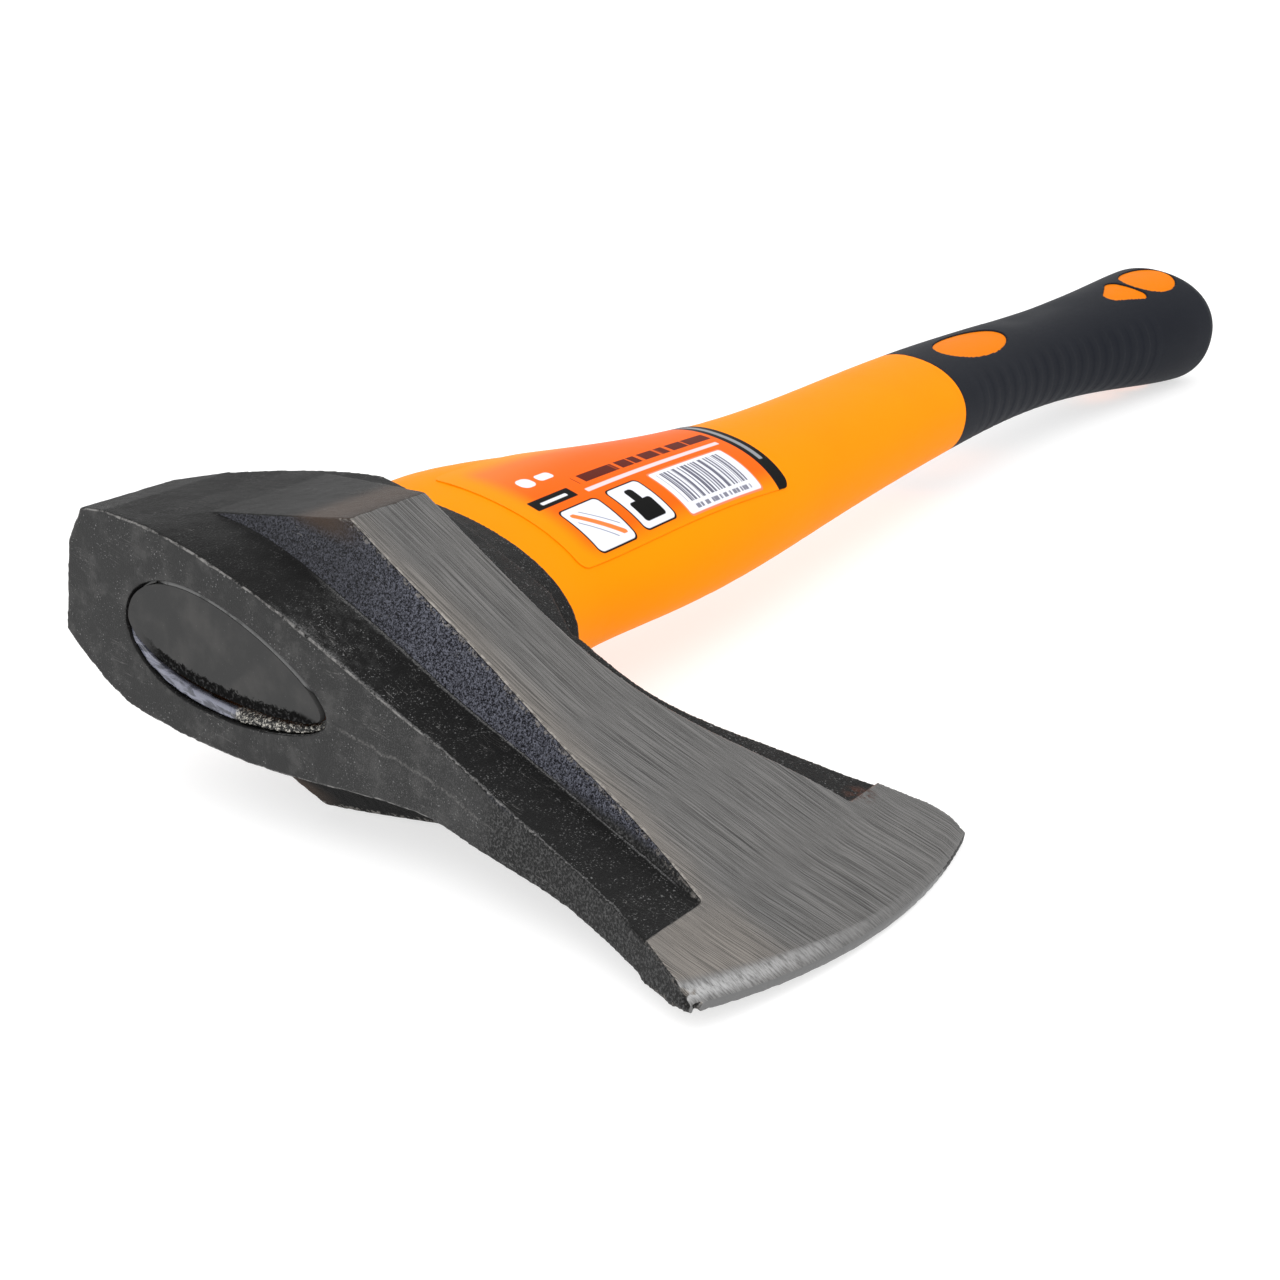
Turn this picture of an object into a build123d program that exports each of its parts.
"""Splitting axe: forged wedge head, fibreglass-cored plastic handle, moulded rubber grip.

The axe is drawn in its own axes first: X runs from the head's top face along the handle,
Y points to the poll, Z goes through the thickness, and Z = 0 is the forging's parting plane.
At the end every piece is laid down the way the axe lies at rest on a table: on the cutting
edge, the ridge of the lower cheek and the butt of the grip.
"""
import os
from math import cos, copysign, pi, radians, sin, tan

from build123d import *

# ---- Head -----------------------------------------------------------------
TOP_X = 0.0                 # flat top face, where the handle's tenon shows
COLLAR_X = 57.0             # bottom of the head, where the handle's shoulder starts
POLL_Y = 46.8               # striking face
RIDGE_Y = -8.0              # thickest line of the head, across each cheek
RIDGE_Z = 29.2              # half the head's greatest thickness
EDGE_Y = -118.9             # lowest point of the cutting edge
TOE = (-17.4, -110.0)       # upper corner of the blade
HEEL = (56.0, -114.7)       # lower corner of the blade
NOTCH_Y = -98.0             # the bright band along the edge starts here
EDGE_CENTRE = (27.5, -2.0)   # the edge is an arc about this point
EDGE_HALF = 0.6             # half the blunt edge's thickness
BEVEL_ANGLE = 21.0          # each side of the cutting bevel
WALL_DRAFT = 20.0           # forging draft of the walls beside the raised wedge
CHEEK_SWELL = 2.8           # the cheeks are this much fuller beside the eye

# Half thickness of the recessed body, and of the raised wedge, along Y.
BODY_PROFILE = [(-120, 0.8), (-97, 3.0), (-76, 3.9), (-58, 5.7), (-40, 7.9), (-28, 10.7),
                (-16, 13.7), (-4, 16.3), (8, 17.9), (20, 18.8), (30, 18.5)]
# The poll end of the section: a broad chamfer on one cheek, a larger one on the other.
POLL_UPPER = [(37.5, 17.7), (43.6, 15.9), (POLL_Y, 8.0)]
POLL_LOWER = [(37.0, -15.8), (43.0, -12.6), (POLL_Y, -10.2)]
WEDGE_PROFILE = [(-120, 0.9), (-106, 2.3), (-96, 4.0), (-84, 6.4), (-72, 8.4), (-60, 10.8),
                 (-48, 14.5), (-36, 18.9), (-24, 23.4), (RIDGE_Y, RIDGE_Z)]
CHEEK_FALL = 0.31           # slope from the ridge back towards the poll

# Feet of the wedge's walls on the parting plane, (y, x), upper and lower side.
WALL_UPPER = [(-99, 0.0), (-90, 2.2), (-78, 4.8), (-64, 7.0), (-50, 8.0), (-36, 7.2),
              (-18, 5.4), (0, 4.6), (20, 5.2), (40, 5.8)]
WALL_LOWER = [(-99, 46.0), (-88, 44.4), (-74, 41.2), (-60, 39.4), (-48, 39.0), (-36, 40.2),
              (-18, 43.4), (2, 47.0), (20, 49.4), (40, 49.0)]

# ---- Eye, tenon and resin -------------------------------------------------
EYE_TOP = dict(centre=5.0, length=25.4, width=10.8)
EYE_BOTTOM = dict(centre=4.0, length=28.5, width=12.8)
TENON_TOP = dict(centre=5.3, length=24.5, width=10.3)
TENON_BOTTOM = dict(centre=4.0, length=28.2, width=12.5)
TENON_SHAVED = 0.39         # share of the half width shaved off one side of the tenon's end
EGG = 0.288                 # how much fuller the eye is at its poll end
RESIN_SINK = 0.5            # the resin stops this far below the top face

# ---- Handle: (x, centre y, half width, half thickness) ----------------------
HANDLE = [(57.0, 1.1, 31.1, 14.9), (96.0, 0.4, 27.6, 15.7), (138.0, -4.5, 20.9, 14.6),
          (187.0, -3.0, 17.6, 13.5), (236.0, -0.4, 16.6, 12.9), (284.5, -0.4, 15.8, 12.1),
          (333.0, -4.5, 17.4, 13.6), (368.0, -7.6, 20.2, 16.6), (383.5, -8.6, 20.6, 17.2)]
SQUARENESS = 2.2            # superellipse exponent of every handle section
GRIP_X = 236.0              # where the rubber starts
GRIP_WALL = 2.4
BUTT_ROUND = 9.0
INSET = 0.4                 # the orange windows lie this far below the rubber

CORE_START, CORE_END = 3.0, 330.0
CORE_Y, CORE_WIDTH, CORE_THICK = -1.5, 20.0, 12.0

# Windows in the rubber, where the orange plastic shows: ovals as (x, y, length, width).
OVALS = [(264.3, -0.4, 34.6, 13.6), (365.6, -7.2, 20.8, 16.4)]
ARROW = [(335.5, -6.5), (353.6, 1.0), (354.2, -15.0)]
ARROW_ROUND = 2.6

LABEL_X = (67.0, 141.0)
LABEL_Y = (-22.0, 18.0)
LABEL_THICK = 0.25

# Where the axe touches the table it lies on: cheek ridge, shoulder of the edge's bevel, butt.
RIDGE_REST = (34.6, RIDGE_Y, -RIDGE_Z)
BEVEL_REST = (48.6, -114.2, -1.64)
BUTT_REST = (373.9, -15.3, -16.15)


def swell(y):
    """Extra half thickness of the cheeks beside the eye, fading out to the blade and the poll."""
    return CHEEK_SWELL * min(1.0, max(0.0, (y + 58.0) / 34.0), max(0.0, (30.0 - y) / 24.0))


def cheek_section(x, crown):
    """The head's closed section across the thickness, at one height."""
    with BuildSketch(Plane.YZ.offset(x)) as section:
        with BuildLine():
            side = [(y, z + crown * swell(y)) for y, z in BODY_PROFILE]
            upper = Spline(*side)
            lower = Spline(*[(y, -z) for y, z in side])
            Polyline(upper @ 1, *POLL_UPPER, *reversed(POLL_LOWER), lower @ 1)
            Line(upper @ 0, lower @ 0)
        make_face()
    return section


def egg(x, top, bottom, shaved=0.0):
    """Egg-shaped section at height x of the cone that runs from the size top to bottom."""
    share = (x - TOP_X) / (COLLAR_X - TOP_X)
    centre, length, width = (top[key] + (bottom[key] - top[key]) * share
                             for key in ("centre", "length", "width"))
    low_side = 1 - shaved * (1 - share)
    turns = [2 * pi * i / 20 for i in range(20)]
    with BuildSketch(Plane.YZ.offset(x)) as section:
        with BuildLine():
            Spline(*[(centre + length * cos(t),
                      width * max(sin(t), low_side * sin(t)) * (1 + EGG * cos(t)))
                     for t in turns], periodic=True)
        make_face()
    return section


def egg_plug(start, end, top, bottom, shaved=0.0):
    """Tapered egg-shaped plug between two heights."""
    with BuildPart() as plug:
        for x in (start, end):
            add(egg(x, top, bottom, shaved).sketch)
        loft(ruled=True)
    return plug


def superellipse(x, centre, half_width, half_thick, grow=0.0):
    """One rounded section of the handle."""
    power = 2 / SQUARENESS
    points = []
    for i in range(24):
        c, s = cos(2 * pi * i / 24), sin(2 * pi * i / 24)
        points.append((centre + copysign(abs(c) ** power, c) * (half_width + grow),
                       copysign(abs(s) ** power, s) * (half_thick + grow)))
    with BuildSketch(Plane.YZ.offset(x)) as section:
        with BuildLine():
            Spline(*points, periodic=True)
        make_face()
    return section


def handle_body(grow=0.0, stations=HANDLE):
    """The handle's outer form, or one offset from it by grow."""
    with BuildPart() as body:
        for x, centre, half_width, half_thick in stations:
            add(superellipse(x, centre, half_width, half_thick, grow).sketch)
        loft()
    return body


# ---- Head -----------------------------------------------------------------
with BuildPart() as side_blank:
    with BuildSketch(Plane.XY):
        with BuildLine():
            top = Polyline((18, POLL_Y), (TOP_X, POLL_Y), (TOP_X, -40))
            Spline(top @ 1, (-2.8, -58), (-6.9, -80), TOE, tangents=[(0, -1), (-0.38, -1)])
            edge = ThreePointArc(TOE, (27, EDGE_Y), HEEL)
            Spline(HEEL, (57.0, -107), (53.9, -98), (49.8, -81), (44, -52), (44.9, -38), (50.6, -27),
                   tangents=[(0.25, 1), (0.6, 1)])
            Polyline((50.6, -27), (51.2, 17), (38, 32), (18, POLL_Y))
        make_face()
    extrude(amount=40, both=True)

with BuildPart() as wedge:
    for height in (0.0, 32.0):
        inset = height * tan(radians(WALL_DRAFT))
        with BuildSketch(Plane.XY.offset(height)):
            with BuildLine():
                upper = Spline(*[(x + inset, y) for y, x in WALL_UPPER])
                lower = Spline(*[(x - inset, y) for y, x in WALL_LOWER])
                Line(upper @ 0, lower @ 0)
                Line(upper @ 1, lower @ 1)
            make_face()
    loft(ruled=True)
    mirror(about=Plane.XY)
    with BuildSketch(Plane.XY):
        with Locations((20, NOTCH_Y)):
            Rectangle(90, 30, align=(Align.CENTER, Align.MAX))
    extrude(amount=20, both=True)
    with BuildSketch(Plane.YZ.offset(-30)):
        with BuildLine():
            side = Spline(*WEDGE_PROFILE)
            poll_z = RIDGE_Z - CHEEK_FALL * (POLL_Y - 1 - RIDGE_Y)
            Polyline(side @ 1, (POLL_Y - 1, poll_z), (POLL_Y - 1, 0), (-120, 0), side @ 0)
        make_face()
        mirror(about=Plane.XZ)
    extrude(amount=100, mode=Mode.INTERSECT)

eye = egg_plug(TOP_X - 2, COLLAR_X + 2, EYE_TOP, EYE_BOTTOM)

with BuildPart() as axe_head:
    for x, crown in ((-24, 0.0), (0, 0.0), (14, 1.0), (38, 1.0), (58, 0.0)):
        add(cheek_section(x, crown).sketch)
    loft(ruled=True)
    add(wedge.part)
    add(side_blank.part, mode=Mode.INTERSECT)
    x, centre, half_width, half_thick = HANDLE[0]
    add(superellipse(34, centre, half_width + 1.5, half_thick + 2.5).sketch)
    add(superellipse(COLLAR_X, centre, half_width + 0.6, half_thick + 0.6).sketch)
    loft(ruled=True)
    # Cutting bevel: a double cone about the centre of the edge's arc.
    edge_radius = EDGE_CENTRE[1] - EDGE_Y
    with BuildSketch(Plane.XZ.offset(-EDGE_CENTRE[1])):
        with BuildLine():
            start = (EDGE_CENTRE[0], EDGE_HALF + edge_radius * tan(radians(BEVEL_ANGLE)))
            rim = (EDGE_CENTRE[0] + edge_radius, EDGE_HALF)
            Polyline(start, rim, (rim[0], -rim[1]), (start[0], -start[1]), close=True)
        make_face()
    bevel_axis = Axis((EDGE_CENTRE[0], EDGE_CENTRE[1], 0), (0, 0, 1))
    revolve(axis=bevel_axis, mode=Mode.INTERSECT)
    add(eye.part, mode=Mode.SUBTRACT)

# ---- Handle ---------------------------------------------------------------
tenon = egg_plug(TOP_X - 3, COLLAR_X + 3, TENON_TOP, TENON_BOTTOM, TENON_SHAVED)

with BuildPart() as epoxy_bond:
    add(eye.part)
    add(tenon.part, mode=Mode.SUBTRACT)
    split(bisect_by=Plane.YZ.offset(RESIN_SINK), keep=Keep.TOP)
    split(bisect_by=Plane.YZ.offset(COLLAR_X), keep=Keep.BOTTOM)

form = handle_body()
butt_x = HANDLE[-1][0]
with BuildPart() as rounded_form:
    add(form.part)
    fillet(faces().sort_by(Axis.X)[-1].edges(), radius=BUTT_ROUND)

with BuildPart() as lining:
    under_grip = [station for station in HANDLE if station[0] > GRIP_X - 60]
    add(handle_body(-GRIP_WALL, under_grip).part)
    split(bisect_by=Plane.YZ.offset(GRIP_X - 5), keep=Keep.TOP)
    split(bisect_by=Plane.YZ.offset(butt_x - 3 * GRIP_WALL), keep=Keep.BOTTOM)

with BuildPart() as windows:
    with BuildSketch(Plane.XY):
        for x, y, length, width in OVALS:
            with Locations((x, y)):
                Ellipse(length / 2, width / 2)
    extrude(amount=40, both=True)
    with BuildSketch(Plane.XY):
        with BuildLine():
            Polyline(*ARROW, close=True)
        make_face()
        fillet(vertices(), radius=ARROW_ROUND)
    extrude(amount=40, both=True)

with BuildPart() as window_pads:
    add(handle_body(-INSET).part)
    add(windows.part, mode=Mode.INTERSECT)

with BuildPart() as handle_core:
    with BuildSketch(Plane.YZ.offset(CORE_START)):
        with Locations((CORE_Y, 0)):
            SlotOverall(CORE_WIDTH, CORE_THICK)
    extrude(amount=CORE_END - CORE_START)

with BuildPart() as handle_jacket:
    add(form.part)
    split(bisect_by=Plane.YZ.offset(GRIP_X), keep=Keep.BOTTOM)
    add(tenon.part)
    split(bisect_by=Plane.YZ.offset(TOP_X), keep=Keep.TOP)
    add(lining.part)
    add(window_pads.part)
    add(handle_core.part, mode=Mode.SUBTRACT)

with BuildPart() as grip:
    add(rounded_form.part)
    split(bisect_by=Plane.YZ.offset(GRIP_X), keep=Keep.TOP)
    add(lining.part, mode=Mode.SUBTRACT)
    add(windows.part, mode=Mode.SUBTRACT)

with BuildPart() as label_bed:
    add(form.part)
    with BuildSketch(Plane.XY):
        with Locations((sum(LABEL_X) / 2, sum(LABEL_Y) / 2)):
            RectangleRounded(LABEL_X[1] - LABEL_X[0], LABEL_Y[1] - LABEL_Y[0], 2)
    extrude(amount=30, mode=Mode.INTERSECT)

with BuildPart() as label:
    thicken(label_bed.faces().sort_by(Axis.Z)[-1], amount=LABEL_THICK)

# ---- Laying the axe down ----------------------------------------------------
ridge, bevel, butt = Vector(RIDGE_REST), Vector(BEVEL_REST), Vector(BUTT_REST)
table = Plane(origin=ridge, x_dir=butt - ridge, z_dir=(bevel - ridge).cross(butt - ridge))
pieces = {"axe_head": axe_head, "handle_core": handle_core, "handle_jacket": handle_jacket,
          "grip": grip, "epoxy_bond": epoxy_bond, "label": label}
for piece in pieces.values():
    piece.part.move(table.location.inverse())
boxes = [piece.part.bounding_box() for piece in pieces.values()]
middle_x = (min(box.min.X for box in boxes) + max(box.max.X for box in boxes)) / 2
middle_y = (min(box.min.Y for box in boxes) + max(box.max.Y for box in boxes)) / 2
floor_z = min(box.min.Z for box in boxes)
to_origin = Location((-middle_x, -middle_y, -floor_z))

os.makedirs("parts", exist_ok=True)
for name, piece in pieces.items():
    with BuildPart() as laid:
        add(piece.part.moved(to_origin))
    laid.part.label = name
    print(name, len(laid.part.solids()), round(laid.part.volume), laid.part.is_valid)
    export_step(laid.part, f"parts/{name}.step")
print("origin moved by", to_origin)
